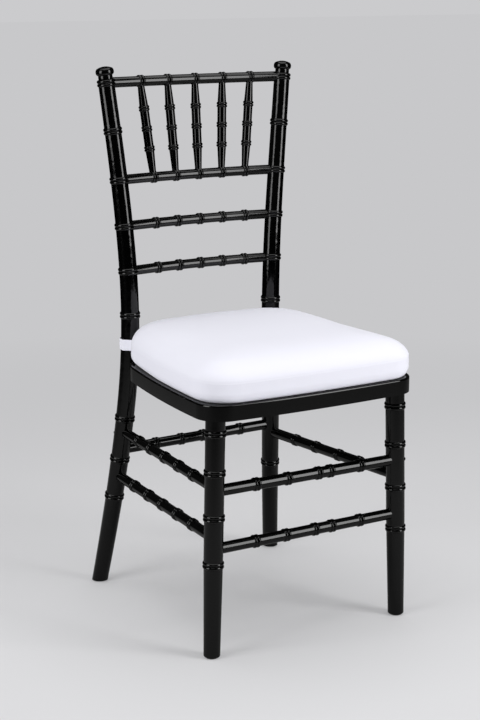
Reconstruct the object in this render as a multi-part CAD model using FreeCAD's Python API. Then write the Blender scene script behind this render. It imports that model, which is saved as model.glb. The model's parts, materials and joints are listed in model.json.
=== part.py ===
"""Chiavari chair: a turned beech frame in black lacquer with a strapped-on white seat cushion.

Millimetres, +Z up, front towards -Y, +X on the right of someone who faces the chair. Y is drawn
from the middle of the seat; each finished piece is moved back by CENTRE_SHIFT, so that the origin
lies on the floor under the middle of the whole chair. Every piece is one STEP file in parts/,
named after its node.
"""
import FreeCAD, Part
import math
import os

from FreeCAD import Vector

UP = Vector(0, 0, 1)
FLOOR = Vector(0, 0, 0)
SIDES = (("left", -1), ("right", 1))
CENTRE_SHIFT = 22.4

# Back posts: height, distance out from the middle plane and distance back, at the centre line
POST_LINE = (
    (0, 180.8, 190.3),
    (90, 170.2, 174.8),
    (180, 160.8, 159.8),
    (290, 151.2, 143.8),
    (400, 144.0, 133.4),
    (500, 142.1, 130.6),
    (620, 147.0, 132.5),
    (760, 159.1, 137.8),
    (910, 174.8, 146.3),
)
POST_RADIUS = ((0, 14.0), (200, 15.65), (440, 15.95), (910, 13.55))
POST_LOFT_STEP = 55.0
POST_SPARE_BELOW = 8.0
BACK_RING_HEIGHTS = (494.0, 570.9, 647.9, 726.3, 808.6)
LEG_RING_HEIGHTS = {"left": (164.2, 234.3, 309.3), "right": (178.4, 309.8)}

# Finial on each post: distances along the post from the middle of its top ring
TOP_RING_HEIGHT = 888.1
NECK_RADIUS = 11.9
NECK_SWELL = 0.35
NECK_END = 12.4
CAP_RADIUS = 15.3
CAP_EDGE = 18.2
CAP_SHOULDER_RADIUS = 12.8
CAP_SHOULDER = 24.2
CAP_TOP = 27.2

# Front legs: centre at the floor and at the top of the tapered length
FRONT_LEG_FOOT = (181.2, -215.3)
FRONT_LEG_HEAD = (171.4, -212.7)
FRONT_LEG_RADIUS = ((0, 13.5), (172, 15.65), (395, 15.9))
FRONT_RING_HEIGHTS = {"left": (155.4, 233.0, 306.3, 370.2), "right": (155.5, 228.3, 302.7, 368.9)}
LEG_TENON_RADIUS = 9.0
LEG_TENON_LENGTH = 14.0

# Double rings turned on every round member
BEAD_WIDTH = 5.8
BEAD_RISE = 1.9
STRETCHER_BEAD_RISE = 1.75
SPINDLE_BEAD_WIDTH = 4.6
SPINDLE_BEAD_RISE = 1.5

# Back rails bow rearward between the posts: height, radius, ring pitch, shift of the ring row
RAIL_BOW = 12.6
RAILS = {
    "top_rail": (888.3, 8.7, 53.8, 3.1),
    "spindle_rail": (726.1, 8.3, 45.4, 4.95),
    "middle_rail": (647.4, 8.25, 44.3, 4.8),
    "lower_rail": (569.8, 8.25, 43.3, 4.6),
}
RINGS_PER_RAIL = 5
SPINDLE_RADIUS = 5.65
SPINDLE_SWELL_RADIUS = 7.75
SPINDLE_RING_HEIGHTS = (774.4, 808.3, 842.6)
SPINDLE_TENON_RADIUS = 3.2

# Stretchers: ends, heights at both ends, radius, and ring places measured from the first end
STRETCHERS = {
    "front_stretcher_upper": ("front_left", "front_right", 275.5, 275.3, 9.4,
                              (76.0, 135.4, 194.2, 217.2, 276.4)),
    "front_stretcher_lower": ("front_left", "front_right", 180.2, 181.1, 9.1,
                              (77.4, 134.9, 190.7, 223.6, 279.3)),
    "left_stretcher_upper": ("rear_left", "front_left", 283.9, 280.9, 8.55,
                             (70.1, 119.8, 174.6, 228.1, 283.9)),
    "left_stretcher_lower": ("rear_left", "front_left", 202.8, 198.8, 8.8,
                             (73.6, 130.8, 185.3, 241.1, 297.5)),
    "right_stretcher": ("rear_right", "front_right", 239.1, 248.3, 9.05,
                        (82.1, 142.9, 210.0, 266.5)),
    "rear_stretcher": ("rear_left", "rear_right", 251.1, 254.5, 9.15,
                       (68.9, 120.0, 164.5, 200.0, 241.9)),
}
JOINT_TENON_RADIUS = 5.5
SHOULDER_DEPTH = 4.2
TENON_STOP = 6.2
PIN_RADIUS = 2.6
PIN_DEPTH = 10.5
PINS = {
    "rear_left": (280.4, (-0.6, 0.8), 2.4),
    "front_right": (275.7, (0.858, -0.513), 1.7),
}

# Seat frame outline, right half, and its section
SEAT_UNDER = 394.2
SEAT_TOP = 420.2
SEAT_FRONT_MIDDLE = -249.0
SEAT_CORNER = (199.1, -240.8)
SEAT_CORNER_RADIUS = 43.8
SEAT_SIDE_MIDDLE = (191.0, -50.5)
SEAT_SIDE_END = (177.2, 54.5)
SEAT_REAR_RADIUS = 101.0
SEAT_EDGE_ROUND = 3.0
FRAME_WIDTH = 36.0
PANEL_THICKNESS = 9.0
PANEL_INSET = 16.0
FRONT_JOINT_Y = -180.0
REAR_JOINT_Y = 40.0
DOWEL_RADIUS = 4.0
DOWEL_LENGTH = 32.0
DOWEL_INSETS = (7.0, 19.0)
DOWEL_HEIGHT = 402.0

# Corner blocks and fasteners
BLOCK_UNDER = 396.0
FRONT_BLOCK_REACH = 30.0
REAR_BLOCK_REACH = 40.0
BLOCK_SCREW_OFFSET = {"front": 18.0, "rear": 25.0}
BLOCK_SCREW_LENGTH = 34.0
BOLT_RADIUS = 3.0
BOLT_HEAD_RADIUS = 5.0
BOLT_HEAD_HEIGHT = 4.5
WASHER_RADIUS = 7.2
WASHER_THICKNESS = 1.6
INSERT_RADIUS = 4.6
INSERT_LENGTH = 12.0
SCREW_RADIUS = 2.0
SCREW_HEAD_RADIUS = 4.0
SCREW_HEAD_HEIGHT = 2.2
LEG_SCREW_LENGTH = 46.0
PANEL_SCREW_LENGTH = 19.0
PANEL_SCREW_INSET = 26.0
PANEL_SCREWS = ((95, "front"), (0, "front"), (-95, "front"), (-120, "side"), (-20, "side"), (0, "rear"))

# Feet
GLIDE_THICKNESS = 1.6
GLIDE_RADIUS = 10.0
GLIDE_NAIL_RADIUS = 1.2
GLIDE_NAIL_LENGTH = 14.0
FOOT_CHAMFER = 1.5

# Cushion with its base board and its two straps
CUSHION_INSET = 5.0
CUSHION_UNDER = 420.5
CUSHION_TOP = 489.5
CUSHION_TOP_ROUND = 27.0
CUSHION_UNDER_ROUND = 6.0
COVER_THICKNESS = 1.0
BOARD_THICKNESS = 3.0
BOARD_INSET = 13.0
STRAP_UNDER = 434.6
STRAP_WIDTH = 19.0
STRAP_THICKNESS = 1.2
STRAP_CLEARANCE = 1.3
TAB_LENGTH = 24.0
PATCH_THICKNESS = 0.8
PATCH_ARC = 50.0


def interpolate(table, place):
    """Straight-line value between the pairs of a table of (place, value)."""
    for (low, first), (high, second) in zip(table, table[1:]):
        if place <= high:
            break
    share = (place - low) / (high - low)
    return first + (second - first) * share


def post_curve():
    """Centre line of the right-hand back post; the curve's parameter is the height itself."""
    curve = Part.BSplineCurve()
    points = [Vector(out, back, height) for height, out, back in POST_LINE]
    curve.interpolate(Points=points, Parameters=[float(height) for height, _, _ in POST_LINE])
    return curve


POST_CURVE = post_curve()


def post_centre(height, side=1):
    point = POST_CURVE.value(height)
    return Vector(side * point.x, point.y, point.z)


def post_direction(height, side=1):
    along = POST_CURVE.tangent(height)[0]
    return Vector(side * along.x, along.y, along.z)


def front_leg_centre(height, side=1):
    share = height / SEAT_UNDER
    out = FRONT_LEG_FOOT[0] + (FRONT_LEG_HEAD[0] - FRONT_LEG_FOOT[0]) * share
    back = FRONT_LEG_FOOT[1] + (FRONT_LEG_HEAD[1] - FRONT_LEG_FOOT[1]) * share
    return Vector(side * out, back, height)


def leg_centre(corner, height):
    """Centre of one of the four legs, named as in "front_left", at a height."""
    row, side_name = corner.split("_")
    side = dict(SIDES)[side_name]
    if row == "front":
        return front_leg_centre(height, side)
    return post_centre(height, side)


def leg_radius(corner, height):
    table = FRONT_LEG_RADIUS if corner.startswith("front") else POST_RADIUS
    return interpolate(table, height)


def mirrored(shape):
    return shape.mirror(FLOOR, Vector(1, 0, 0))


def placed(shape, base, direction):
    """A shape that was made along +Z from the origin, moved to base and turned to direction."""
    moved = shape.copy()
    moved.Placement = FreeCAD.Placement(base, FreeCAD.Rotation(UP, direction))
    return moved


def joined(shapes):
    return shapes[0].multiFuse(shapes[1:]).Solids[0]


def cut_by(shape, tools):
    """What is left of a solid; crumbs that a cut leaves beside the main piece are dropped."""
    return max(shape.cut(tools).Solids, key=lambda solid: solid.Volume)


def revolved(edges):
    """Solid turned about Z from the edges of a profile in the XZ plane that starts and ends on Z."""
    closing = Part.makeLine(edges[-1].Vertexes[-1].Point, edges[0].Vertexes[0].Point)
    face = Part.Face(Part.Wire(edges + [closing]))
    return face.revolve(FLOOR, UP, 360)


def on_profile(radius, along):
    return Vector(radius, 0, along)


def dome(radius, low, high):
    """Profile arc from the rim of a spherical dome up to its top on the axis."""
    rise = high - low
    sphere = (radius ** 2 + rise ** 2) / (2 * rise)
    middle = on_profile(radius / 2, high - sphere + math.sqrt(sphere ** 2 - radius ** 2 / 4))
    return Part.Arc(on_profile(radius, low), middle, on_profile(0, high)).toShape()


def bead_arcs(first_radius, middle_radius, last_radius, place, width, rise):
    """Two half-round beads side by side, centred on a place along the axis."""
    start = on_profile(first_radius, place - width)
    valley = on_profile(middle_radius, place)
    end = on_profile(last_radius, place + width)
    lower_top = on_profile(middle_radius + rise, place - width / 2)
    upper_top = on_profile(middle_radius + rise, place + width / 2)
    return [Part.Arc(start, lower_top, valley).toShape(), Part.Arc(valley, upper_top, end).toShape()]


def turned(radii, beads, width=BEAD_WIDTH, rise=BEAD_RISE):
    """Turned bar along +Z whose radius follows a table, with a double ring at each place in beads."""
    marks = [(place, None) for place in beads] + [(along, radius) for along, radius in radii[1:-1]]
    edges = [Part.makeLine(on_profile(0, radii[0][0]), on_profile(radii[0][1], radii[0][0]))]
    here = on_profile(radii[0][1], radii[0][0])
    for place, radius in sorted(marks, key=lambda mark: mark[0]):
        if radius is None:
            first = interpolate(radii, place - width)
            last = interpolate(radii, place + width)
            start = on_profile(first, place - width)
            edges.append(Part.makeLine(here, start))
            edges += bead_arcs(first, interpolate(radii, place), last, place, width, rise)
            here = on_profile(last, place + width)
        else:
            corner = on_profile(radius, place)
            if here.distanceToPoint(corner) > 0.001:
                edges.append(Part.makeLine(here, corner))
            here = corner
    end = on_profile(radii[-1][1], radii[-1][0])
    edges.append(Part.makeLine(here, end))
    edges.append(Part.makeLine(end, on_profile(0, radii[-1][0])))
    return revolved(edges)


def ring_collar(radius, width=BEAD_WIDTH, rise=BEAD_RISE):
    """A double ring alone, its feet sunk a little under the surface of the bar that it sits on."""
    foot = radius - 0.4
    edges = [Part.makeLine(on_profile(0, -width), on_profile(foot, -width))]
    edges += bead_arcs(foot, radius, foot, 0, width, rise)
    edges.append(Part.makeLine(on_profile(foot, width), on_profile(0, width)))
    return revolved(edges)


def finial():
    """Neck, cap and top ring of a post, turned about the post's own direction at its top ring."""
    post_radius = interpolate(POST_RADIUS, TOP_RING_HEIGHT)
    foot = post_radius - 0.4
    neck_start = on_profile(NECK_RADIUS, BEAD_WIDTH)
    neck_middle = on_profile(NECK_RADIUS + NECK_SWELL, (BEAD_WIDTH + NECK_END) / 2)
    neck_end = on_profile(NECK_RADIUS, NECK_END)
    under_middle = on_profile(CAP_RADIUS - 0.8, (NECK_END + CAP_EDGE) / 2 - 0.7)
    edge = on_profile(CAP_RADIUS, CAP_EDGE)
    shoulder_middle = on_profile(CAP_RADIUS - 0.55, (CAP_EDGE + CAP_SHOULDER) / 2 + 0.4)
    shoulder = on_profile(CAP_SHOULDER_RADIUS, CAP_SHOULDER)
    edges = [Part.makeLine(on_profile(0, -BEAD_WIDTH), on_profile(foot, -BEAD_WIDTH))]
    edges += bead_arcs(foot, post_radius, foot, 0, BEAD_WIDTH, BEAD_RISE)
    edges.append(Part.makeLine(on_profile(foot, BEAD_WIDTH), neck_start))
    edges.append(Part.Arc(neck_start, neck_middle, neck_end).toShape())
    edges.append(Part.Arc(neck_end, under_middle, edge).toShape())
    edges.append(Part.Arc(edge, shoulder_middle, shoulder).toShape())
    edges.append(dome(CAP_SHOULDER_RADIUS, CAP_SHOULDER, CAP_TOP))
    return revolved(edges)


def floor_block():
    """Everything below the soles of the legs, which rest on the glides."""
    return Part.makeBox(600, 600, 60, Vector(-300, -300, GLIDE_THICKNESS - 60))


def ring_wire(centre, direction, radius):
    return Part.Wire(Part.Circle(centre, direction, radius).toShape())


def back_post(side_name):
    """Bent post with its rings and finial, made on the right and mirrored for the left."""
    count = round(TOP_RING_HEIGHT / POST_LOFT_STEP)
    below = post_centre(0) - post_direction(0) * POST_SPARE_BELOW
    sections = [ring_wire(below, post_direction(0), POST_RADIUS[0][1])]
    for index in range(1, count + 1):
        height = TOP_RING_HEIGHT * index / count
        radius = interpolate(POST_RADIUS, height)
        sections.append(ring_wire(post_centre(height), post_direction(height), radius))
    pieces = [Part.makeLoft(sections, True)]
    for height in BACK_RING_HEIGHTS + LEG_RING_HEIGHTS[side_name]:
        collar = ring_collar(interpolate(POST_RADIUS, height))
        pieces.append(placed(collar, post_centre(height), post_direction(height)))
    pieces.append(placed(finial(), post_centre(TOP_RING_HEIGHT), post_direction(TOP_RING_HEIGHT)))
    post = cut_by(joined(pieces), [floor_block()])
    return post if side_name == "right" else mirrored(post)


def front_leg(side_name):
    """Straight tapered leg with its rings and the tenon that enters the seat frame."""
    side = dict(SIDES)[side_name]
    foot = front_leg_centre(GLIDE_THICKNESS, side)
    head = front_leg_centre(SEAT_UNDER, side)
    length = (head - foot).Length
    radii = [(0, FRONT_LEG_RADIUS[0][1] - FOOT_CHAMFER), (FOOT_CHAMFER, FRONT_LEG_RADIUS[0][1])]
    radii += [(height - GLIDE_THICKNESS, radius) for height, radius in FRONT_LEG_RADIUS[1:-1]]
    radii += [(length, FRONT_LEG_RADIUS[-1][1])]
    leg = turned(radii, [height - GLIDE_THICKNESS for height in FRONT_RING_HEIGHTS[side_name]])
    leg = placed(leg, foot, head - foot)
    tenon = Part.makeCylinder(LEG_TENON_RADIUS, LEG_TENON_LENGTH + 2, head - Vector(0, 0, 2), UP)
    leg = joined([leg, tenon])
    above = Part.makeBox(200, 200, 60, Vector(head.x - 100, head.y - 100, SEAT_UNDER))
    return cut_by(leg, [above.cut(tenon), floor_block()])


def rail_arc(height):
    """Centre arc of a back rail between the two post centres, bowed rearward, as an edge."""
    right = post_centre(height)
    middle = Vector(0, right.y + RAIL_BOW, height)
    return Part.Arc(Vector(-right.x, right.y, height), middle, right).toShape()


def rail_point(height, out):
    """Point of a back rail's centre arc at a distance from the middle plane, and its direction."""
    circle = rail_arc(height).Curve
    centre = circle.Center
    rise = math.sqrt(circle.Radius ** 2 - (out - centre.x) ** 2)
    point = Vector(out, centre.y + rise, height)
    return point, (point - centre).cross(UP).normalize()


def ring_places(name):
    """Distances of a rail's rings from the middle plane, from left to right."""
    _, _, pitch, shift = RAILS[name]
    middle = (RINGS_PER_RAIL - 1) / 2
    return [shift + pitch * (index - middle) for index in range(RINGS_PER_RAIL)]


def back_rail(name):
    """Bowed rail of round section with its rings; its ends are let into the posts."""
    height, radius, _, _ = RAILS[name]
    arc = rail_arc(height)
    post_radius = interpolate(POST_RADIUS, height)
    pieces = []
    for section_radius, gap in ((radius, post_radius - SHOULDER_DEPTH), (JOINT_TENON_RADIUS, TENON_STOP)):
        trim = gap / arc.Curve.Radius
        path = arc.Curve.toShape(arc.FirstParameter + trim, arc.LastParameter - trim)
        start = path.valueAt(path.FirstParameter)
        along = path.tangentAt(path.FirstParameter)
        section = ring_wire(start, along, section_radius)
        pieces.append(Part.Wire(path).makePipeShell([section], True, False))
    for out in ring_places(name):
        point, along = rail_point(height, out)
        pieces.append(placed(ring_collar(radius), point, along))
    return joined(pieces)


def spindle(index):
    """Short turned stick between the top rail's ring and the spindle rail's ring below it."""
    low, _ = rail_point(RAILS["spindle_rail"][0], ring_places("spindle_rail")[index])
    high, _ = rail_point(RAILS["top_rail"][0], ring_places("top_rail")[index])
    length = (high - low).Length
    stretch = length / (high.z - low.z)
    rings = [(height - low.z) * stretch for height in SPINDLE_RING_HEIGHTS]
    low_radius, high_radius = RAILS["spindle_rail"][1], RAILS["top_rail"][1]
    radii = [(low_radius - 2.5, SPINDLE_RADIUS), (rings[0], SPINDLE_SWELL_RADIUS),
             (rings[-1], SPINDLE_SWELL_RADIUS), (length - high_radius + 2.5, SPINDLE_RADIUS)]
    body = turned_between_rings(radii, rings)
    tenons = Part.makeCylinder(SPINDLE_TENON_RADIUS, length - 4.0, on_profile(0, 2.0), UP)
    return placed(joined([body, tenons]), low, high - low)


def turned_between_rings(radii, rings):
    """Turned bar whose change of taper lies under its first and last ring."""
    edges = [Part.makeLine(on_profile(0, radii[0][0]), on_profile(radii[0][1], radii[0][0]))]
    here = on_profile(radii[0][1], radii[0][0])
    for place in rings:
        first = interpolate(radii, place - SPINDLE_BEAD_WIDTH)
        last = interpolate(radii, place + SPINDLE_BEAD_WIDTH)
        edges.append(Part.makeLine(here, on_profile(first, place - SPINDLE_BEAD_WIDTH)))
        edges += bead_arcs(first, SPINDLE_SWELL_RADIUS, last, place, SPINDLE_BEAD_WIDTH, SPINDLE_BEAD_RISE)
        here = on_profile(last, place + SPINDLE_BEAD_WIDTH)
    end = on_profile(radii[-1][1], radii[-1][0])
    edges += [Part.makeLine(here, end), Part.makeLine(end, on_profile(0, radii[-1][0]))]
    return revolved(edges)


def stretcher(name):
    """Straight turned bar between two legs, with shoulders let in and short round tenons."""
    first, last, first_height, last_height, radius, rings = STRETCHERS[name]
    start = leg_centre(first, first_height)
    end = leg_centre(last, last_height)
    length = (end - start).Length
    first_shoulder = leg_radius(first, first_height) - SHOULDER_DEPTH
    last_shoulder = length - leg_radius(last, last_height) + SHOULDER_DEPTH
    radii = [(first_shoulder, radius), (last_shoulder, radius)]
    bar = turned(radii, rings, rise=STRETCHER_BEAD_RISE)
    tenons = Part.makeCylinder(JOINT_TENON_RADIUS, length - 2 * TENON_STOP, on_profile(0, TENON_STOP), UP)
    return placed(joined([bar, tenons]), start, end - start)


def domed_pin(length, proud):
    """Round pin along +Z whose far end is a low dome."""
    rim = length - proud / 2
    edges = [Part.makeLine(FLOOR, on_profile(PIN_RADIUS, 0)),
             Part.makeLine(on_profile(PIN_RADIUS, 0), on_profile(PIN_RADIUS, rim)),
             dome(PIN_RADIUS, rim, length)]
    return revolved(edges)


def stretcher_pins():
    """Pins driven radially through a leg into a stretcher's tenon, with a domed end outside."""
    pins = []
    for corner, (height, (out, back), proud) in PINS.items():
        direction = Vector(out, back, 0).normalize()
        start = leg_centre(corner, height) - direction * PIN_DEPTH
        pin = domed_pin(PIN_DEPTH + leg_radius(corner, height) + proud, proud)
        pins.append(placed(pin, start, direction))
    return pins


def across(point):
    return Vector(-point.x, point.y, point.z)


def seat_circles():
    """Centre and radius of each arc of the seat's outline on the right, from front to back."""
    corner = Vector(SEAT_CORNER[0], SEAT_CORNER[1], 0)
    side_middle = Vector(SEAT_SIDE_MIDDLE[0], SEAT_SIDE_MIDDLE[1], 0)
    side_end = Vector(SEAT_SIDE_END[0], SEAT_SIDE_END[1], 0)
    front = Part.Arc(across(corner), Vector(0, SEAT_FRONT_MIDDLE, 0), corner).toShape().Curve
    side = Part.Arc(corner, side_middle, side_end).toShape().Curve
    inner_front = Part.Circle(front.Center, UP, front.Radius - SEAT_CORNER_RADIUS)
    inner_side = Part.Circle(side.Center, UP, side.Radius - SEAT_CORNER_RADIUS)
    meetings = [Vector(point.X, point.Y, 0) for point in inner_front.intersectCC(inner_side)]
    corner_centre = min(meetings, key=lambda point: (point - corner).Length)
    rear_centre = side_end + (side.Center - side_end).normalize() * SEAT_REAR_RADIUS
    return [(front.Center, front.Radius), (corner_centre, SEAT_CORNER_RADIUS),
            (side.Center, side.Radius), (rear_centre, SEAT_REAR_RADIUS)]


SEAT_CIRCLES = seat_circles()
FRONT_CORNER_CENTRE = SEAT_CIRCLES[1][0]
REAR_CORNER_CENTRE = SEAT_CIRCLES[3][0]


def touch_point(outer, inner, inset):
    """Point where a small arc runs into a larger one, both drawn in by a distance."""
    (outer_centre, outer_radius), (inner_centre, _) = outer, inner
    return outer_centre + (inner_centre - outer_centre).normalize() * (outer_radius - inset)


def arc_about(centre, start, end):
    """Shorter arc about a centre from one point to another."""
    radius = (start - centre).Length
    middle = centre + (start + end - centre * 2).normalize() * radius
    return Part.Arc(start, middle, end).toShape()


def seat_outline(inset=0.0):
    """Outline of the seat frame at floor level, or a line that runs inside it at a distance."""
    front, corner, side, rear = SEAT_CIRCLES
    first = touch_point(front, corner, inset)
    second = touch_point(side, corner, inset)
    third = touch_point(side, rear, inset)
    last = rear[0] + Vector(0, rear[1] - inset, 0)
    right = [(corner[0], first, second), (side[0], second, third), (rear[0], third, last)]
    edges = [arc_about(centre, start, end) for centre, start, end in right]
    edges.append(Part.makeLine(last, across(last)))
    for centre, start, end in reversed(right):
        edges.append(arc_about(across(centre), across(end), across(start)))
    edges.append(arc_about(front[0], across(first), first))
    return Part.Wire(edges)


def seat_prism(inset, low, high):
    """Upright slab between two heights whose outline lies a distance inside the seat's outline."""
    slab = Part.Face(seat_outline(inset)).extrude(Vector(0, 0, high - low))
    slab.translate(Vector(0, 0, low))
    return slab


def edges_at(shape, height):
    """Edges of a slab that lie in the level plane at a height."""
    return [edge for edge in shape.Edges
            if all(abs(vertex.Z - height) < 0.01 for vertex in edge.Vertexes)]


def strip(low_y, high_y, low_x=-300, high_x=300):
    """Tall box over a range of Y and X, for dividing the seat frame."""
    return Part.makeBox(high_x - low_x, high_y - low_y, 200, Vector(low_x, low_y, 330))


def rear_corner_direction():
    """Level direction from the centre of the seat's rear corner arc to the right back post."""
    centre = post_centre((SEAT_UNDER + SEAT_TOP) / 2)
    level = Vector(centre.x, centre.y, 0)
    return (level - REAR_CORNER_CENTRE).normalize()


def block_frame(row):
    """Centre of a right-hand seat corner, outward direction, and how far out its block's face is."""
    if row == "front":
        return FRONT_CORNER_CENTRE, Vector(1, -1, 0).normalize(), -FRONT_BLOCK_REACH
    return REAR_CORNER_CENTRE, rear_corner_direction(), REAR_BLOCK_REACH


def across_direction(direction):
    return Vector(-direction.y, direction.x, 0)


def corner_block(row):
    """Right-hand glue block that fills the inside of a seat frame corner."""
    centre, direction, face_distance = block_frame(row)
    side = across_direction(direction)
    start = centre + direction * face_distance - side * 100 + Vector(0, 0, BLOCK_UNDER)
    high = SEAT_TOP - PANEL_THICKNESS
    corners = [start, start + direction * 120, start + direction * 120 + side * 200, start + side * 200]
    cutter = Part.Face(Part.makePolygon(corners + [start])).extrude(Vector(0, 0, high - BLOCK_UNDER))
    filling = seat_prism(FRAME_WIDTH, BLOCK_UNDER, high)
    return filling.common(cutter).Solids[0]


def screw(length, base, direction):
    """Countersunk wood screw: head at base, shank along direction, pointed end."""
    edges = [
        Part.makeLine(FLOOR, on_profile(SCREW_HEAD_RADIUS, 0)),
        Part.makeLine(on_profile(SCREW_HEAD_RADIUS, 0), on_profile(SCREW_RADIUS, SCREW_HEAD_HEIGHT)),
        Part.makeLine(on_profile(SCREW_RADIUS, SCREW_HEAD_HEIGHT), on_profile(SCREW_RADIUS, length - 4)),
        Part.makeLine(on_profile(SCREW_RADIUS, length - 4), on_profile(0, length)),
    ]
    closing = Part.makeLine(on_profile(0, length), FLOOR)
    face = Part.Face(Part.Wire(edges + [closing]))
    return placed(face.revolve(FLOOR, UP, 360), base, direction)


def corner_block_screws():
    """Two screws through each corner block into the seat frame."""
    level = (BLOCK_UNDER + SEAT_TOP - PANEL_THICKNESS) / 2
    screws = []
    for row in ("front", "rear"):
        centre, direction, face_distance = block_frame(row)
        for sign in (-1, 1):
            offset = across_direction(direction) * sign * BLOCK_SCREW_OFFSET[row]
            base = centre + direction * face_distance + offset + Vector(0, 0, level)
            screws.append(screw(BLOCK_SCREW_LENGTH, base, direction))
    return screws + [mirrored(one) for one in screws]


def post_fixing():
    """Bolt, washer and threaded insert that hold the right back post to the seat frame."""
    level = (BLOCK_UNDER + SEAT_TOP - PANEL_THICKNESS) / 2
    centre, direction, face_distance = block_frame("rear")
    post = post_centre(level)
    post_distance = math.hypot(post.x - centre.x, post.y - centre.y)
    face = centre + direction * face_distance + Vector(0, 0, level)
    washer = Part.makeCylinder(WASHER_RADIUS, WASHER_THICKNESS, face, direction * -1)
    head_base = face - direction * WASHER_THICKNESS
    length = post_distance - face_distance + WASHER_THICKNESS - 2.0
    shank = Part.makeCylinder(BOLT_RADIUS, length, head_base, direction)
    head = Part.makeCylinder(BOLT_HEAD_RADIUS, BOLT_HEAD_HEIGHT, head_base, direction * -1)
    bolt = joined([head, shank])
    radius = interpolate(POST_RADIUS, level)
    insert_start = centre + direction * (post_distance - radius + 2.6) + Vector(0, 0, level)
    insert = Part.makeCylinder(INSERT_RADIUS, INSERT_LENGTH, insert_start, direction)
    return bolt, washer.cut(shank), insert.cut(shank)


def panel_screws():
    """Screws down through the seat panel into the frame's ledge."""
    inner = seat_outline(PANEL_SCREW_INSET)
    screws = []
    for value, where in PANEL_SCREWS:
        if where == "side":
            probe = Part.makeLine(Vector(100, value, 0), Vector(250, value, 0))
        elif where == "front":
            probe = Part.makeLine(Vector(value, -150, 0), Vector(value, -300, 0))
        else:
            probe = Part.makeLine(Vector(value, 60, 0), Vector(value, 200, 0))
        point = inner.distToShape(probe)[1][0][0]
        screws.append(screw(PANEL_SCREW_LENGTH, Vector(point.x, point.y, SEAT_TOP), UP * -1))
        if where == "side":
            screws.append(mirrored(screws[-1]))
    return screws


def frame_dowels():
    """Dowels across the four butt joints of the seat frame."""
    dowels = []
    for joint_y in (FRONT_JOINT_Y, REAR_JOINT_Y):
        for inset in DOWEL_INSETS:
            probe = Part.makeLine(Vector(100, joint_y, 0), Vector(250, joint_y, 0))
            point = seat_outline(inset).distToShape(probe)[1][0][0]
            start = Vector(point.x, joint_y - DOWEL_LENGTH / 2, DOWEL_HEIGHT)
            dowels.append(Part.makeCylinder(DOWEL_RADIUS, DOWEL_LENGTH, start, Vector(0, 1, 0)))
    return dowels + [mirrored(one) for one in dowels]


def leg_screws():
    """Screw down through the seat frame into each front leg's tenon."""
    screws = []
    for _, side in SIDES:
        base = front_leg_centre(SEAT_UNDER, side)
        base.z = SEAT_TOP - PANEL_THICKNESS
        screws.append(screw(LEG_SCREW_LENGTH, base, UP * -1))
    return screws


def seat_frame(obstacles):
    """The four rails of the seat frame by name, cut to fit what passes through or into them."""
    ring = seat_prism(0, SEAT_UNDER, SEAT_TOP)
    ring = ring.makeFillet(SEAT_EDGE_ROUND, edges_at(ring, SEAT_TOP))
    rebate = seat_prism(PANEL_INSET, SEAT_TOP - PANEL_THICKNESS, SEAT_TOP + 1)
    ring = ring.cut([seat_prism(FRAME_WIDTH, SEAT_UNDER - 1, SEAT_TOP), rebate])
    areas = {
        "front": strip(-300, FRONT_JOINT_Y),
        "left": strip(FRONT_JOINT_Y, REAR_JOINT_Y, high_x=0),
        "right": strip(FRONT_JOINT_Y, REAR_JOINT_Y, low_x=0),
        "rear": strip(REAR_JOINT_Y, 200),
    }
    return {name: cut_by(ring.common(area).Solids[0], obstacles) for name, area in areas.items()}


def foot_centre(corner):
    """Point on the floor under the middle of a leg's sole."""
    centre = leg_centre(corner, GLIDE_THICKNESS)
    return Vector(centre.x, centre.y, 0)


def glide(corner):
    """Low round glide with a softened lower edge under a leg."""
    disc = Part.makeCylinder(GLIDE_RADIUS, GLIDE_THICKNESS, foot_centre(corner), UP)
    return disc.makeChamfer(0.4, edges_at(disc, 0))


def glide_nail(corner):
    """Nail that holds a glide, its head flush inside the glide."""
    centre = foot_centre(corner) + Vector(0, 0, 0.6)
    shank = Part.makeCylinder(GLIDE_NAIL_RADIUS, GLIDE_NAIL_LENGTH, centre, UP)
    head = Part.makeCylinder(3 * GLIDE_NAIL_RADIUS, 0.6, centre, UP)
    return joined([head, shank])


def cushion_shape(shrink):
    """Outer shape of the cushion, or the same shape drawn in by a distance on every side."""
    low = CUSHION_UNDER + shrink
    high = CUSHION_TOP - shrink
    body = seat_prism(CUSHION_INSET + shrink, low, high)
    body = body.makeFillet(CUSHION_TOP_ROUND - shrink, edges_at(body, high))
    return body.makeFillet(CUSHION_UNDER_ROUND - shrink, edges_at(body, low))


def cushion_parts():
    """Cover shell, foam core and base board of the cushion."""
    inside = cushion_shape(COVER_THICKNESS)
    cover = cushion_shape(0).cut(inside)
    board_low = CUSHION_UNDER + COVER_THICKNESS
    board = seat_prism(BOARD_INSET, board_low, board_low + BOARD_THICKNESS)
    return cover.Solids[0], cut_by(inside, [board]), board


def loop_face(post, direction, radius, reach):
    """Area inside a U: half round about the post's far side, straight towards the cushion."""
    side = across_direction(direction)
    far = post + direction * radius
    left, right = post + side * radius, post - side * radius
    left_end, right_end = left - direction * reach, right - direction * reach
    edges = [Part.makeLine(left_end, left), Part.Arc(left, far, right).toShape(),
             Part.makeLine(right, right_end), Part.makeLine(right_end, left_end)]
    return Part.Face(Part.Wire(edges))


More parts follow.
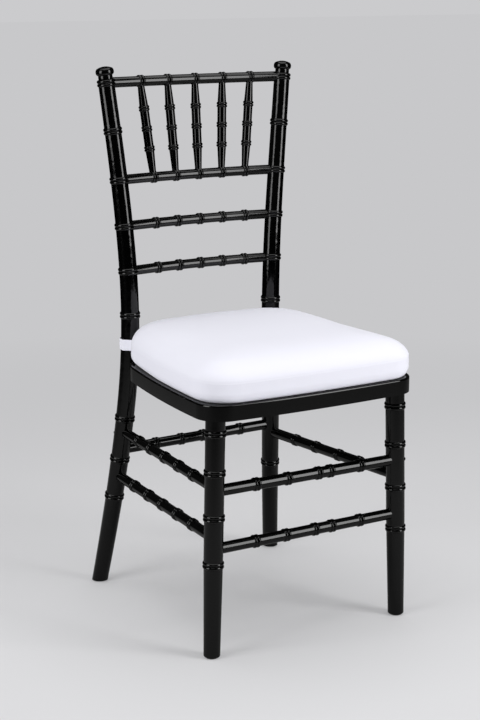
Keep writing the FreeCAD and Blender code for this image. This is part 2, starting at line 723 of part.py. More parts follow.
def strap_parts():
    """Loop, sewn tabs and fastening patch of the right-hand strap."""
    level = STRAP_UNDER + STRAP_WIDTH / 2
    centre = REAR_CORNER_CENTRE
    post = post_centre(level)
    post = Vector(post.x, post.y, 0)
    direction = (post - centre).normalize()
    inner = interpolate(POST_RADIUS, level) + STRAP_CLEARANCE
    outer = inner + STRAP_THICKNESS
    reach = (post - centre).Length - 60
    height = Vector(0, 0, STRAP_WIDTH)
    wall_radius = SEAT_REAR_RADIUS - CUSHION_INSET
    wall = Part.makeCylinder(wall_radius, STRAP_WIDTH, centre, UP)
    loop = loop_face(post, direction, outer, reach).extrude(height)
    loop = loop.cut([loop_face(post, direction, inner, reach + 1).extrude(height), wall])
    side = across_direction(direction)
    band = Part.makeCylinder(wall_radius + STRAP_THICKNESS, STRAP_WIDTH, centre, UP).cut(wall)
    tabs = []
    for sign in (-1, 1):
        angle = math.degrees(math.atan2(direction.y, direction.x))
        start = math.degrees(math.asin(outer / wall_radius))
        span = math.degrees(TAB_LENGTH / wall_radius)
        low_angle = angle + start if sign > 0 else angle - start - span
        wedge = Part.makeCylinder(wall_radius + 20, STRAP_WIDTH, centre, UP, span)
        wedge.rotate(centre, UP, low_angle)
        tabs.append(band.common(wedge).Solids[0])
    patch_ring = Part.makeCylinder(outer + PATCH_THICKNESS, STRAP_WIDTH - 4, post + Vector(0, 0, 2), UP)
    patch_ring = patch_ring.cut(Part.makeCylinder(outer, STRAP_WIDTH, post, UP))
    patch_wedge = Part.makeCylinder(outer + 20, STRAP_WIDTH, post, UP, PATCH_ARC)
    patch_wedge.rotate(post, UP, math.degrees(math.atan2(side.y, side.x)) - PATCH_ARC - 20)
    patch = patch_ring.common(patch_wedge).Solids[0]
    pieces = [loop.Solids[0], Part.makeCompound(tabs), patch]
    return [placed(piece, Vector(0, 0, STRAP_UNDER), UP) for piece in pieces]


def build():
    """Every node's shape by name."""
    nodes = {}
    rails = {name: back_rail(name) for name in RAILS}
    spindles = {f"spindle_{index + 1}": spindle(index) for index in range(RINGS_PER_RAIL)}
    stretchers = {name: stretcher(name) for name in STRETCHERS}
    pins = stretcher_pins()
    corners = [f"{row}_{side_name}" for row in ("front", "rear") for side_name, _ in SIDES]
    nails = {corner: glide_nail(corner) for corner in corners}
    bolt, washer, insert = post_fixing()
    bolts, washers, inserts = ([piece, mirrored(piece)] for piece in (bolt, washer, insert))
    block_screws, front_screws, top_screws = corner_block_screws(), leg_screws(), panel_screws()
    dowels = frame_dowels()

    for name in ("top_rail", "spindle_rail"):
        rails[name] = cut_by(rails[name], list(spindles.values()))
    nodes.update(rails)
    nodes.update(spindles)
    for name, shape in stretchers.items():
        nodes[name] = cut_by(shape, pins)
    nodes["stretcher_pins"] = Part.makeCompound(pins)

    posts = {side_name: back_post(side_name) for side_name, _ in SIDES}
    legs = {side_name: front_leg(side_name) for side_name, _ in SIDES}
    post_tools = list(rails.values()) + list(stretchers.values()) + pins + bolts + inserts
    leg_tools = list(stretchers.values()) + pins + front_screws
    for side_name, _ in SIDES:
        front, rear = f"front_{side_name}", f"rear_{side_name}"
        nodes[f"back_post_{side_name}"] = cut_by(posts[side_name], post_tools + [nails[rear]])
        nodes[f"front_leg_{side_name}"] = cut_by(legs[side_name], leg_tools + [nails[front]])

    blocks = {}
    for row in ("front", "rear"):
        right = cut_by(corner_block(row), block_screws + bolts)
        blocks[f"corner_block_{row}_right"] = right
        blocks[f"corner_block_{row}_left"] = mirrored(right)
    frame_tools = list(posts.values()) + list(legs.values()) + bolts
    frame_tools += block_screws + front_screws + top_screws + dowels
    for name, shape in seat_frame(frame_tools).items():
        nodes[f"seat_rail_{name}"] = shape
    nodes.update(blocks)
    panel = seat_prism(PANEL_INSET, SEAT_TOP - PANEL_THICKNESS, SEAT_TOP)
    nodes["seat_panel"] = cut_by(panel, top_screws)
    nodes["seat_panel_screws"] = Part.makeCompound(top_screws)
    nodes["corner_block_screws"] = Part.makeCompound(block_screws)
    nodes["front_leg_screws"] = Part.makeCompound(front_screws)
    nodes["frame_dowels"] = Part.makeCompound(dowels)
    nodes["post_bolts"] = Part.makeCompound(bolts)
    nodes["post_bolt_washers"] = Part.makeCompound(washers)
    nodes["post_bolt_inserts"] = Part.makeCompound(inserts)

    for corner in corners:
        nodes[f"foot_glide_{corner}"] = cut_by(glide(corner), [nails[corner]])
    nodes["glide_nails"] = Part.makeCompound(list(nails.values()))

    cover, foam, board = cushion_parts()
    nodes["cushion_cover"] = cover
    nodes["cushion_foam"] = foam
    nodes["cushion_base_board"] = board
    loop, tabs, patch = strap_parts()
    for side_name, side in SIDES:
        turn = mirrored if side < 0 else Part.Shape.copy
        nodes[f"cushion_strap_{side_name}"] = turn(loop)
        nodes[f"strap_tabs_{side_name}"] = turn(tabs)
        nodes[f"strap_patch_{side_name}"] = turn(patch)
    return nodes


def export():
    os.makedirs("parts", exist_ok=True)
    for name, shape in build().items():
        shape.translate(Vector(0, CENTRE_SHIFT, 0))
        shape.exportStep(f"parts/{name}.step")


if __name__ == "__main__":
    export()
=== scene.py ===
"""Chiavari chair in black lacquer with a white strapped cushion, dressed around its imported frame.

Metres, +Z up, the chair's front towards -Y. The turned wood stays as the frame gives it and gets
its finish here. The cushion and its straps are surfaces worked out with numpy, in millimetres from
the middle of the seat, which lies SEAT_SHIFT behind the frame's origin.
"""
import json
import math

import bmesh
import bpy
import numpy as np
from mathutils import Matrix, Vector


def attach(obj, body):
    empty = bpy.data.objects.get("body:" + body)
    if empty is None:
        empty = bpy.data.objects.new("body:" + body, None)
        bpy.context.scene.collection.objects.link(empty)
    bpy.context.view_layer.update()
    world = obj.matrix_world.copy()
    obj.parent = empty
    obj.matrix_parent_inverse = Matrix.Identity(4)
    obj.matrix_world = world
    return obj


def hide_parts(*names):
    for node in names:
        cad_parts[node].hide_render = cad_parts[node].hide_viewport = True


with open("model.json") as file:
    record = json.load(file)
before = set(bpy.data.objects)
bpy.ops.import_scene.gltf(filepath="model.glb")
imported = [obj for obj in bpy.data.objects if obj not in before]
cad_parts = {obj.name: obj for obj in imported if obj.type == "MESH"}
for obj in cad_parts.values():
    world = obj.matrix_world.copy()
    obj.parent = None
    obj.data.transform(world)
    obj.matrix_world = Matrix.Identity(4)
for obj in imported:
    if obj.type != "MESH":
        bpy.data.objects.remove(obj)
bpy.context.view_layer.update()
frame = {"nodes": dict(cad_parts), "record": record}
nodes = frame["nodes"]

MM = 0.001
LEFT = -1
RIGHT = 1

# Camera, as fitted to the photograph: metres, degrees and the sensor in millimetres
CAMERA_AIM = Vector((0.0, 0.0224, 0.4233))
CAMERA_AZIMUTH = -30.86
CAMERA_ELEVATION = 13.20
CAMERA_DISTANCE = 2.8474
FOCAL_PIXELS = 1669.7
IMAGE_HEIGHT = 720
SENSOR = 36.0

# Lamps: name, bearing from the front, distance, height, height aimed at, size and radiance
LAMPS = (
    ("left_lamp", -86, 2.5, 1.3, 1.2, (1.2, 2.0), 4.6),
    ("right_lamp", 34, 2.6, 1.45, 1.3, (1.0, 2.2), 7.2),
    ("top_lamp", 0, 0.05, 2.9, 0.0, (2.6, 2.6), 1.9),
)
FILL_LIGHT = 0.24
FILL_REFLECTION = 0.03

# Floor and backdrop: metres from the chair, colours as the eye sees them. The floor's front and back glow
# colours are painted light falloff, lighter at the front and darker at the back, and the glow takes a
# growing share of the floor away from the chair.
FLOOR_REACH = 30.0
FLOOR_PAPER = "E2E2E4"
FLOOR_FRONT_PAINTED_LIGHT = "DCDCDE"
FLOOR_BACK_PAINTED_FALLOFF = "C8C8CA"
BACKDROP = "CBCBCD"
PAINTED_FALLOFF_DEPTHS = (-1.2, 0.9)
PAINTED_GLOW_FROM = 0.5
PAINTED_GLOW_TO = 2.2
PAINTED_GLOW_LEAST = 0.35
REFLECTED_FROM = 0.9
REFLECTED_TO = 2.6
REFLECTED_MOST = 0.36

# Cushion's plan: arcs as a centre and a radius, drawn for the right half
SEAT_SHIFT = 22.4
FRONT_ARC = ((0.0, 2172.2), 2423.1)
SIDE_ARC = ((-1482.7, -217.1), 1681.6)
FRONT_CORNER_NEAR = (150.0, -195.0)
FRONT_CORNER_RADIUS = {LEFT: 61.0, RIGHT: 54.0}
FRONT_SWELL = {LEFT: 0.0, RIGHT: 2.2}
SWELL_PLACE = -185.0
SWELL_LENGTH = 60.0
SWELL_FROM = 120.0
REAR_CORNER_RADIUS = 101.0
REAR_CORNER_REACH = 184.5
REAR_CORNER_BEARING = 31.0
CUSHION_REAR = 138.5
CUSHION_MIDDLE = (0.0, -53.0)

# Cushion's section: heights above the floor, ways in from the widest line, and powers of its curves
CUSHION_UNDER = 420.6
UNDER_ROUND = 9.5
UNDER_POWER = 1.7
SIDE_LOW = 436.0
SIDE_HIGH = 453.5
SEAM_STEP = 0.331
SEAM_ROLL = 1.0
SEAM_BAND = 2.4
CUSHION_CROWN = 489.9
CROWN_REACH = 185.0
CROWN_POWER = 5.5
CROWN_ROOT = 1.6
PANEL_EDGE = 40.0
PANEL_CROWDING = 2.2
SQUARE_BAND = 36.0

# How much rounder below and fuller above the cushion gets towards its rear, and where
REAR_UNDER_GAIN = 0.9
REAR_CROWN_GAIN = 5.0
REAR_START = -60.0
REAR_LENGTH = 150.0

# Points along the cushion's outline and its parts, and rows up its section
OUTLINE_POINTS = 420
ARC_POINTS = 400
REAR_LINE_POINTS = 60
UNDER_ROWS = 24
EDGE_ROWS = 18
SIDE_ROWS = 9
SEAM_ROWS = 7
PANEL_EDGE_ROWS = 60
PANEL_ROWS = 36

# Back posts at the height of the cushion, as height, distance out, distance back and radius, and
# the gap that the cushion keeps to them over its lift
POST_PLACES = (
    (400, 144.0, 133.4, 15.9),
    (440, 142.7, 131.5, 15.95),
    (480, 142.1, 130.7, 15.75),
    (520, 142.4, 130.7, 15.6),
)
POST_GAP = 0.6
LIFT = 20.0

# Straps round the posts: bands whose legs run in line with STRAP_ROOT, creased and wandering a little
STRAP_UNDER = 434.6
STRAP_WIDTH = 19.0
STRAP_THICKNESS = 1.1
STRAP_GAP = 0.9
STRAP_LEG = 30.0
STRAP_ROOT = (77.5, 38.2)
STRAP_EDGE_POWER = 0.4
STRAP_FACE_POWER = 0.7
CREASE_DEPTH = 0.35
CREASE_TURN = 37.0
CREASE_SLANT = 0.35
WANDER = 0.5
WANDER_TURN = 21.0
WANDER_START = 0.7
BEND_POINTS = 60
LEG_POINTS = 12
BAND_POINTS = 24

# Patterns of the finishes, in millimetres: a wave texture repeats once in WAVE_TURN at scale 1
WAVE_TURN = 2 * math.pi / 20
KNIT_PITCH = 0.748
KNIT_RELIEF = 0.2
SPRAY_PATCH = 111.1
SPRAY_RELIEF = 0.8
PLAIN_GRAIN = 2.5
PLAIN_RELIEF = 0.2
GLOSS_SPREAD = 0.05

# Finishes of the small and hidden pieces: material, colour, roughness and metallic
PLAIN_FINISHES = {
    # Turned beech dowel without a coat: warm, pale and matt
    "beech": ("bare_beech", "C49A6C", 0.6, 0.0),
    # Sanded beech plywood: the same warmth, drier and duller
    "board": ("bare_plywood", "BF9B6E", 0.7, 0.0),
    # Pressed and turned steel with bright zinc plating: cool grey with soft reflections
    "zinc_steel": ("zinc_plated_steel", "B9BBC0", 0.32, 1.0),
    # Brass turned on a lathe: yellow, with a fine dull grain in its shine
    "insert_brass": ("turned_brass", "C8A45A", 0.3, 1.0),
    # Moulded nylon: black with a dull sheen
    "glide_plastic": ("black_nylon", "101011", 0.5, 0.0),
}


def linear(value):
    """An sRGB hex colour such as "D8D8DE" as a linear RGBA tuple."""
    channels = [int(value[i:i + 2], 16) / 255 for i in (0, 2, 4)]
    return tuple(c / 12.92 if c <= 0.04045 else ((c + 0.055) / 1.055) ** 2.4 for c in channels) + (1.0,)


def add(tree, kind, settings=None, **links):
    """A shader node of a kind, with its settings, and links to its sockets by name or, as i0, by number."""
    node = tree.nodes.new(kind)
    for name, value in (settings or {}).items():
        if name in node.inputs:
            node.inputs[name].default_value = value
        else:
            setattr(node, name, value)
    for name, source in links.items():
        socket = node.inputs[int(name[1:])] if name[0] == "i" and name[1:].isdigit() else node.inputs[name]
        tree.links.new(source, socket)
    return node


def new_material(name):
    """An empty node material with a Principled shader on its output."""
    material = bpy.data.materials.new(name)
    material.use_nodes = True
    tree = material.node_tree
    tree.nodes.clear()
    output = tree.nodes.new("ShaderNodeOutputMaterial")
    shader = tree.nodes.new("ShaderNodeBsdfPrincipled")
    tree.links.new(shader.outputs[0], output.inputs[0])
    return material, tree, shader


def black_lacquer():
    """Beech sprayed black: a hard smooth glossy film that shows the lamps as soft-edged streaks.

    The spray lies a little unevenly: slow patches vary its gloss and tilt its highlights slightly.
    """
    material, tree, shader = new_material("black_lacquer")
    shader.inputs["Base Color"].default_value = linear("020202")
    shader.inputs["IOR"].default_value = 1.42
    place = add(tree, "ShaderNodeTexCoord").outputs["Object"]
    patches = add(tree, "ShaderNodeTexNoise", {"Scale": 1 / (SPRAY_PATCH * MM), "Detail": 2.0}, Vector=place)
    spread = add(tree, "ShaderNodeMapRange", {"To Min": 0.09, "To Max": 0.12}, Value=patches.outputs[0])
    tree.links.new(spread.outputs[0], shader.inputs["Roughness"])
    bump = add(tree, "ShaderNodeBump", {"Strength": 0.05, "Distance": SPRAY_RELIEF * MM},
               Height=patches.outputs[0])
    tree.links.new(bump.outputs[0], shader.inputs["Normal"])
    return material


def plain_material(name, colour, roughness, metallic):
    """A plain finish with a fine irregular grain in its surface and in its gloss."""
    material, tree, shader = new_material(name)
    shader.inputs["Base Color"].default_value = linear(colour)
    shader.inputs["Metallic"].default_value = metallic
    place = add(tree, "ShaderNodeTexCoord").outputs["Object"]
    noise = add(tree, "ShaderNodeTexNoise", {"Scale": 1 / (PLAIN_GRAIN * MM), "Detail": 3.0}, Vector=place)
    gloss = {"To Min": roughness - GLOSS_SPREAD, "To Max": roughness + GLOSS_SPREAD}
    spread = add(tree, "ShaderNodeMapRange", gloss, Value=noise.outputs[0])
    tree.links.new(spread.outputs[0], shader.inputs["Roughness"])
    bump = add(tree, "ShaderNodeBump", {"Strength": 0.2, "Distance": PLAIN_RELIEF * MM},
               Height=noise.outputs[0])
    tree.links.new(bump.outputs[0], shader.inputs["Normal"])
    return material


def white_cover():
    """Knitted polyester stretched over foam: matt, pale bluish white, with a very fine even knit.

    Two crossed waves, KNIT_PITCH apart, give the knit its relief, and a weak sheen lifts its edges.
    """
    material, tree, shader = new_material("white_knit_cover")
    shader.inputs["Base Color"].default_value = linear("EBEBF5")
    shader.inputs["Roughness"].default_value = 0.7
    shader.inputs["Sheen Weight"].default_value = 0.15
    shader.inputs["Sheen Roughness"].default_value = 0.4
    place = add(tree, "ShaderNodeTexCoord").outputs["Object"]
    knit = {"Scale": WAVE_TURN / (KNIT_PITCH * MM), "Distortion": 0.6}
    along = add(tree, "ShaderNodeTexWave", {**knit, "bands_direction": "X"}, Vector=place)
    across = add(tree, "ShaderNodeTexWave", {**knit, "bands_direction": "Y"}, Vector=place)
    weave = add(tree, "ShaderNodeMath", {"operation": "ADD"}, i0=along.outputs["Fac"],
                i1=across.outputs["Fac"])
    bump = add(tree, "ShaderNodeBump", {"Strength": 0.08, "Distance": KNIT_RELIEF * MM},
               Height=weave.outputs[0])
    tree.links.new(bump.outputs[0], shader.inputs["Normal"])
    return material


def mesh_object(name, points, faces, material, smooth=True):
    """An object at the origin with its place in its mesh."""
    mesh = bpy.data.meshes.new(name)
    mesh.from_pydata(points.reshape(-1, 3).tolist(), [], faces)
    mesh.materials.append(material)
    mesh.polygons.foreach_set("use_smooth", [smooth] * len(mesh.polygons))
    piece = bpy.data.objects.new(name, mesh)
    bpy.context.scene.collection.objects.link(piece)
    return piece


def ring_faces(rows, columns):
    """Quads between the rows of a grid of points, in which each row is a closed ring."""
    row, column = np.meshgrid(np.arange(rows - 1), np.arange(columns), indexing="ij")
    after = (column + 1) % columns
    quads = np.stack([row * columns + column, row * columns + after,
                      (row + 1) * columns + after, (row + 1) * columns + column], -1)
    return quads.reshape(-1, 4).tolist()


def close_up(piece):
    """Merges the points that meet where a surface closes and turns all its faces outwards."""
    work = bmesh.new()
    work.from_mesh(piece.data)
    bmesh.ops.remove_doubles(work, verts=work.verts, dist=1e-6)
    bmesh.ops.recalc_face_normals(work, faces=work.faces)
    work.to_mesh(piece.data)
    work.free()


def bearing_of(step):
    """Angle of a plan direction, counted from +X towards +Y."""
    return math.atan2(step[1], step[0])


def inner_circle(first, second, radius, near):
    """Centre of a circle that touches two larger circles from inside, the one nearest to a point.

    It lies at each large radius less its own from that circle's centre, which is where two circles
    of those radii cross.
    """
    (first_centre, first_radius), (second_centre, second_radius) = first, second
    start, end = np.array(first_centre), np.array(second_centre)
    gap = np.linalg.norm(end - start)
    reach, other = first_radius - radius, second_radius - radius
    along = (reach ** 2 - other ** 2 + gap ** 2) / (2 * gap)
    across = math.sqrt(reach ** 2 - along ** 2)
    step = (end - start) / gap
    sideways = np.array([-step[1], step[0]])
    crossings = [start + along * step + sign * across * sideways for sign in (-1, 1)]
    return min(crossings, key=lambda point: np.linalg.norm(point - near))


def rear_corner():
    """Centre of a rear corner's arc, which touches the side arc from inside.

    Measured along REAR_CORNER_BEARING, the arc reaches REAR_CORNER_REACH from the seat's middle.
    """
    bearing = math.radians(REAR_CORNER_BEARING)
    normal = np.array([math.cos(bearing), math.sin(bearing)])
    centre, radius = np.array(SIDE_ARC[0]), SIDE_ARC[1] - REAR_CORNER_RADIUS
    height = REAR_CORNER_REACH - REAR_CORNER_RADIUS - centre @ normal
    turn = bearing - math.acos(height / radius)
    return centre + radius * np.array([math.cos(turn), math.sin(turn)])


def half_outline(side):
    """One half of the cushion's plan, drawn as the right one, from the front middle to the rear middle.

    Four arcs that touch, front, front corner, side and rear corner, then a rear line that bows out
    as half a cosine wave. A bell curve swells the side at the front corner by FRONT_SWELL. Gives the
    points and their outward normals.
    """
    corner_radius = FRONT_CORNER_RADIUS[side]
    corner = inner_circle(FRONT_ARC, SIDE_ARC, corner_radius, np.array(FRONT_CORNER_NEAR))
    rear = rear_corner()
    front_centre, side_centre = np.array(FRONT_ARC[0]), np.array(SIDE_ARC[0])
    bounds = [-np.pi / 2, bearing_of(corner - front_centre), bearing_of(corner - side_centre),
              bearing_of(rear - side_centre), np.pi / 2]
    arcs = [(front_centre, FRONT_ARC[1]), (corner, corner_radius), (side_centre, SIDE_ARC[1]),
            (rear, REAR_CORNER_RADIUS)]
    points, normals = [], []
    for (centre, radius), low, high in zip(arcs, bounds, bounds[1:]):
        turn = np.linspace(low, high, ARC_POINTS)
        normal = np.stack([np.cos(turn), np.sin(turn)], -1)
        points.append(centre + radius * normal)
        normals.append(normal)
    across = np.linspace(1, 0, REAR_LINE_POINTS)[1:]
    corner_back = rear[1] + REAR_CORNER_RADIUS
    back = corner_back + (CUSHION_REAR - corner_back) * (0.5 + 0.5 * np.cos(np.pi * across))
    points.append(np.stack([rear[0] * across, back], -1))
    normals.append(np.tile([0.0, 1.0], (len(across), 1)))
    line = np.concatenate(points)
    bell = np.exp(-((line[:, 1] - SWELL_PLACE) / SWELL_LENGTH) ** 2)
    line[:, 0] += FRONT_SWELL[side] * bell * (line[:, 0] > SWELL_FROM)
    return line, np.concatenate(normals)


def cushion_outline():
    """Widest line of the cushion, both halves joined: evenly spaced points and their outward normals."""
    right, right_normals = half_outline(RIGHT)
    left, left_normals = half_outline(LEFT)
    flip = np.array([-1.0, 1.0])
    line = np.concatenate([right, (left * flip)[::-1]])
    normals = np.concatenate([right_normals, (left_normals * flip)[::-1]])
    travel = np.concatenate([[0], np.cumsum(np.linalg.norm(np.diff(line, axis=0), axis=1))])
    travel += np.arange(len(travel)) * 1e-9  # the arcs share their end points, and interp needs a rise
    even = np.linspace(0, travel[-1], OUTLINE_POINTS, endpoint=False)
    points, outward = [np.stack([np.interp(even, travel, part[:, axis]) for axis in (0, 1)], -1)
                       for part in (line, normals)]
    return points, outward / np.linalg.norm(outward, axis=1, keepdims=True)


def cushion_skirt():
    """Way in and height of the cushion's half section, from under its middle up to the seam.

    Flat below. The lower edge is a rounded corner: its two shares, each to the power UNDER_POWER,
    add up to one. The side stands upright up to the seam, where the tail of a bell curve draws it
    in by SEAM_STEP.
    """
    flat = np.linspace(CROWN_REACH, UNDER_ROUND, UNDER_ROWS)
    turn = np.linspace(0, np.pi / 2, EDGE_ROWS)[1:]
    edge = UNDER_ROUND * (1 - np.sin(turn) ** (2 / UNDER_POWER))
    edge_height = SIDE_LOW - (SIDE_LOW - CUSHION_UNDER) * np.cos(turn) ** (2 / UNDER_POWER)
    side_height = np.linspace(SIDE_LOW, SIDE_HIGH - SEAM_BAND, SIDE_ROWS, endpoint=False)[1:]
    seam_height = np.linspace(SIDE_HIGH - SEAM_BAND, SIDE_HIGH, SEAM_ROWS)
    upright = np.concatenate([side_height, seam_height])
    drawn_in = SEAM_STEP * np.exp(1 - (1 + (SIDE_HIGH - upright) / SEAM_ROLL) ** 2)
    way_in = np.concatenate([flat, edge, drawn_in])
    height = np.concatenate([np.full(UNDER_ROWS, CUSHION_UNDER), edge_height, upright])
    return way_in, height


def cushion_panel():
    """Way in of the top panel's rows: a power of even steps near the seam, then even steps to the middle."""
    near_seam = PANEL_EDGE * np.linspace(0, 1, PANEL_EDGE_ROWS)[1:] ** PANEL_CROWDING
    inner = np.linspace(PANEL_EDGE, CROWN_REACH, PANEL_ROWS)[1:]
    return SEAM_STEP + np.concatenate([near_seam, inner])


def crown_height(way_in, fullness):
    """Height of the top panel: one less the way out to the power of its fullness, to one over CROWN_ROOT."""
    way_out = np.clip(1 - way_in / CROWN_REACH, 0, 1)
    return SIDE_HIGH + (CUSHION_CROWN - SIDE_HIGH) * (1 - way_out ** fullness) ** (1 / CROWN_ROOT)


def post_place(height):
    """Centre and radius of the right-hand post at heights near the cushion."""
    table = np.array(POST_PLACES, float)
    return [np.interp(height, table[:, 0], table[:, column]) for column in (1, 2, 3)]


def clear_of_posts(points):
    """Pushes points out of both posts, level and away from their centres, over the whole lift."""
    for side in (LEFT, RIGHT):
        for lift in (0.0, LIFT / 2, LIFT):
            out, back, radius = post_place(points[..., 2] + lift)
            offset = np.stack([points[..., 0] - side * out, points[..., 1] - back], -1)
            distance = np.linalg.norm(offset, axis=-1)
            scale = np.maximum((radius + POST_GAP) / np.maximum(distance, 1e-6), 1.0)
            points[..., 0] = side * out + offset[..., 0] * scale
            points[..., 1] = back + offset[..., 1] * scale
    return points


def cushion_surface():
    """Points of the cushion, in rings from under its middle to the top of its crown.

    A ring is the outline moved in by the section's way in: square to the outline over SQUARE_BAND,
    and from there in a straight line to CUSHION_MIDDLE. Towards the rear the lower edge gets rounder
    by a smooth step, and the crown fuller in even measure.
    """
    outline, normals = cushion_outline()
    skirt_in, skirt_height = cushion_skirt()
    rearward = np.clip((outline[:, 1] - REAR_START) / REAR_LENGTH, 0, 1)
    rounder = REAR_UNDER_GAIN * rearward ** 2 * (3 - 2 * rearward)
    edge = np.minimum(skirt_in, UNDER_ROUND) * (skirt_height < SIDE_LOW)
    skirt = skirt_in[:, None] + edge[:, None] * rounder
    panel = np.repeat(cushion_panel()[:, None], OUTLINE_POINTS, axis=1)
    sides = np.repeat(skirt_height[:, None], OUTLINE_POINTS, axis=1)
    crown = crown_height(panel, CROWN_POWER + REAR_CROWN_GAIN * rearward)
    way_in = np.concatenate([skirt, panel])[..., None]
    height = np.concatenate([sides, crown])[..., None]
    share = np.clip((way_in - SQUARE_BAND) / (CROWN_REACH - SQUARE_BAND), 0, 1)
    plan = outline - normals * np.minimum(way_in, SQUARE_BAND)
    plan += (np.array(CUSHION_MIDDLE) - plan) * share
    return clear_of_posts(np.concatenate([plan, height], -1))


def make_cushion(material):
    """Padded seat cushion, closed all round."""
    points = cushion_surface()
    points[..., 1] += SEAT_SHIFT
    cushion = mesh_object("cushion", points * MM, ring_faces(*points.shape[:2]), material)
    close_up(cushion)
    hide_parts("cushion_cover", "cushion_foam", "cushion_base_board")
    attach(cushion, "cushion")


def strap_path():
    """Plan of the right strap: out of the cushion, round the far side of the post, back into the cushion.

    A half circle round the post's centre, with a straight leg from each of its ends.
    """
    out, back, radius = post_place(STRAP_UNDER + STRAP_WIDTH / 2)
    centre = np.array([out, back])
    towards = centre - np.array(STRAP_ROOT)
    towards /= np.linalg.norm(towards)
    side = np.array([-towards[1], towards[0]])
    reach = radius + STRAP_GAP
    turn = np.linspace(-np.pi / 2, np.pi / 2, BEND_POINTS)
    bend = centre + reach * (np.cos(turn)[:, None] * towards + np.sin(turn)[:, None] * side)
    leg = np.linspace(STRAP_LEG, 0, LEG_POINTS)[:-1, None] * -towards
    return np.concatenate([bend[0] + leg, bend, bend[-1] + leg[::-1]])


def make_strap(name, side, material):
    """Strap: a flat closed band along its path.

    Its section is an oval with sharpened ends: powers of the sine for its width and of the cosine
    for its thickness. A slanting wave creases it, and a slow wave lets it wander up and down.
    """
    path = strap_path()
    step = np.gradient(path, axis=0)
    normal = np.stack([step[:, 1], -step[:, 0]], -1)
    normal /= np.linalg.norm(normal, axis=1, keepdims=True)
    around = np.linspace(0, 2 * np.pi, BAND_POINTS, endpoint=False)
    half_width, half_thickness = STRAP_WIDTH / 2, STRAP_THICKNESS / 2
    rise = half_width * np.sign(np.sin(around)) * np.abs(np.sin(around)) ** STRAP_EDGE_POWER
    out = half_thickness * np.sign(np.cos(around)) * np.abs(np.cos(around)) ** STRAP_FACE_POWER
    along = np.linspace(0, 1, len(path))[:, None]
    crease = CREASE_DEPTH * np.sin(along * CREASE_TURN + rise * CREASE_SLANT) * np.sin(along * np.pi)
    lift = half_width + WANDER * np.sin(along * WANDER_TURN + WANDER_START)
    offset = out + half_thickness + np.abs(crease)
    plan = path[:, None] + normal[:, None] * offset[..., None]
    points = np.concatenate([plan, (STRAP_UNDER + lift + rise)[..., None]], -1)
    points[..., 0] *= side
    points[..., 1] += SEAT_SHIFT
    rows, columns = points.shape[:2]
    faces = ring_faces(rows, columns)
    faces.append(list(range(columns)))
    faces.append(list(range(rows * columns - 1, (rows - 1) * columns - 1, -1)))
    strap = mesh_object(name, points * MM, faces, material)
    close_up(strap)
    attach(strap, "cushion")
    return strap


def floor_material():
    """Matt seamless paper, pale grey, with a painted glow: it keeps the chair's soft shadow, and far from
    the chair the glow takes over.

    The camera sees more and more of the glow with the distance from the chair. The glow is painted light
    falloff, a ramp lighter at the front and darker at the back. Reflections see a dimmer paper that fades
    out, so that the lacquer stays as dark as in the photograph.
    """
    material, tree, shader = new_material("paper_floor")
    shader.inputs["Base Color"].default_value = linear(FLOOR_PAPER)
    shader.inputs["Roughness"].default_value = 0.9
    shader.inputs["Specular IOR Level"].default_value = 0.1
    output = next(node for node in tree.nodes if node.type == "OUTPUT_MATERIAL")
    place = add(tree, "ShaderNodeTexCoord").outputs["Object"]
    parts = add(tree, "ShaderNodeSeparateXYZ", Vector=place)
    front, rear = PAINTED_FALLOFF_DEPTHS
    # Painted light falloff: the glow's colour runs lighter at the front and darker at the back
    depth = add(tree, "ShaderNodeMapRange", {"From Min": front, "From Max": rear}, Value=parts.outputs["Y"])
    painted_falloff_ramp = add(tree, "ShaderNodeMix", {"data_type": "RGBA"}, i0=depth.outputs[0])
    # A mix node's sockets 6 and 7 are its two colours
    painted_falloff_ramp.inputs[6].default_value = linear(FLOOR_FRONT_PAINTED_LIGHT)
    painted_falloff_ramp.inputs[7].default_value = linear(FLOOR_BACK_PAINTED_FALLOFF)
    painted_glow = add(tree, "ShaderNodeEmission", Color=painted_falloff_ramp.outputs[2])
    length = add(tree, "ShaderNodeVectorMath", {"operation": "LENGTH"}, i0=place).outputs["Value"]
    painted_glow_share = {"From Min": PAINTED_GLOW_FROM, "From Max": PAINTED_GLOW_TO, "To Min": PAINTED_GLOW_LEAST, "To Max": 1.0}
    far = add(tree, "ShaderNodeMapRange", painted_glow_share, Value=length)
    seen = add(tree, "ShaderNodeLightPath")
    share = add(tree, "ShaderNodeMath", {"operation": "MULTIPLY"}, i0=far.outputs[0],
                i1=seen.outputs["Is Camera Ray"])
    fading = {"From Min": REFLECTED_FROM, "From Max": REFLECTED_TO, "To Min": REFLECTED_MOST, "To Max": 0.0}
    fade = add(tree, "ShaderNodeMapRange", fading, Value=length)
    dim = add(tree, "ShaderNodeBsdfDiffuse", Color=fade.outputs[0])
    paper = add(tree, "ShaderNodeMixShader", i0=seen.outputs["Is Glossy Ray"], i1=shader.outputs[0],
                i2=dim.outputs[0])
    mix = add(tree, "ShaderNodeMixShader", i0=share.outputs[0], i1=paper.outputs[0], i2=painted_glow.outputs[0])
    tree.links.new(mix.outputs[0], output.inputs[0])
    return material


def make_floor():
    """One large square of paper under the chair."""
    size = FLOOR_REACH
    corners = np.array([[-size, -size, 0], [size, -size, 0], [size, size, 0], [-size, size, 0]], float)
    floor = mesh_object("floor", corners, [(0, 1, 2, 3)], floor_material(), smooth=False)


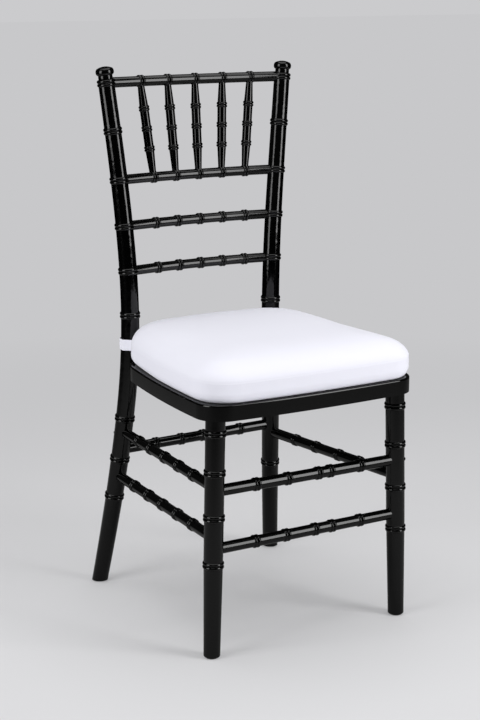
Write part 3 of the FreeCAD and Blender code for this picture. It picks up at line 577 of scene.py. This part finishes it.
def make_lamp(name, azimuth, distance, height, aim_height, size, radiance):
    """A rectangular soft lamp at a bearing and height, turned to a point on the chair's axis."""
    angle = math.radians(azimuth)
    place = Vector((math.sin(angle) * distance, -math.cos(angle) * distance, height))
    lamp = bpy.data.lights.new(name, "AREA")
    lamp.shape = "RECTANGLE"
    lamp.size, lamp.size_y = size
    lamp.energy = radiance * math.pi * size[0] * size[1]
    holder = bpy.data.objects.new(name, lamp)
    holder.location = place
    holder.rotation_mode = "QUATERNION"
    holder.rotation_quaternion = (Vector((0, 0, aim_height)) - place).to_track_quat("-Z", "Y")
    bpy.context.scene.collection.objects.link(holder)


def make_world():
    """An even fill from all round, weaker in reflections, and a pale backdrop for the camera."""
    world = bpy.data.worlds.new("studio")
    world.use_nodes = True
    tree = world.node_tree
    tree.nodes.clear()
    seen = add(tree, "ShaderNodeLightPath")
    fill = add(tree, "ShaderNodeMapRange", {"To Min": FILL_LIGHT, "To Max": FILL_REFLECTION},
               Value=seen.outputs["Is Glossy Ray"])
    dim = add(tree, "ShaderNodeBackground", {"Color": linear("FFFFFF")}, Strength=fill.outputs[0])
    pale = add(tree, "ShaderNodeBackground", {"Color": linear(BACKDROP), "Strength": 1.0})
    mix = add(tree, "ShaderNodeMixShader", i0=seen.outputs["Is Camera Ray"], i1=dim.outputs[0],
              i2=pale.outputs[0])
    add(tree, "ShaderNodeOutputWorld", Surface=mix.outputs[0])
    bpy.context.scene.world = world


def make_camera():
    """The fitted camera: its focal length in pixels, turned into millimetres by the picture's height."""
    azimuth, elevation = math.radians(CAMERA_AZIMUTH), math.radians(CAMERA_ELEVATION)
    level = math.cos(elevation)
    back = Vector((math.sin(azimuth) * level, -math.cos(azimuth) * level, math.sin(elevation)))
    camera = bpy.data.cameras.new("camera")
    camera.sensor_fit = "VERTICAL"
    camera.sensor_height = SENSOR
    camera.lens = FOCAL_PIXELS * SENSOR / IMAGE_HEIGHT
    holder = bpy.data.objects.new("camera", camera)
    holder.location = CAMERA_AIM + back * CAMERA_DISTANCE
    holder.rotation_mode = "QUATERNION"
    holder.rotation_quaternion = (-back).to_track_quat("-Z", "Y")
    bpy.context.scene.collection.objects.link(holder)
    bpy.context.scene.camera = holder


def finish_frame():
    """Gives every node of the frame the finish of its material slot."""
    finishes = {"black_lacquer": black_lacquer()}
    for slot, settings in PLAIN_FINISHES.items():
        finishes[slot] = plain_material(*settings)
    for row in frame["record"]["subparts"]:
        material = finishes.get(row["material_slot"])
        if material:
            node = nodes[row["node"]]
            node.data.materials.clear()
            node.data.materials.append(material)


def main():
    """Finishes the frame, adds the cushion and its straps, and sets the stage."""
    bpy.context.scene.view_settings.view_transform = "Standard"
    finish_frame()
    cover = white_cover()
    make_cushion(cover)
    for side_name, side in (("left", LEFT), ("right", RIGHT)):
        strap = make_strap(f"strap_{side_name}", side, cover)
        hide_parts(f"cushion_strap_{side_name}", f"strap_tabs_{side_name}",
                    f"strap_patch_{side_name}")
    make_floor()
    for lamp in LAMPS:
        make_lamp(*lamp)
    make_world()
    make_camera()


main()
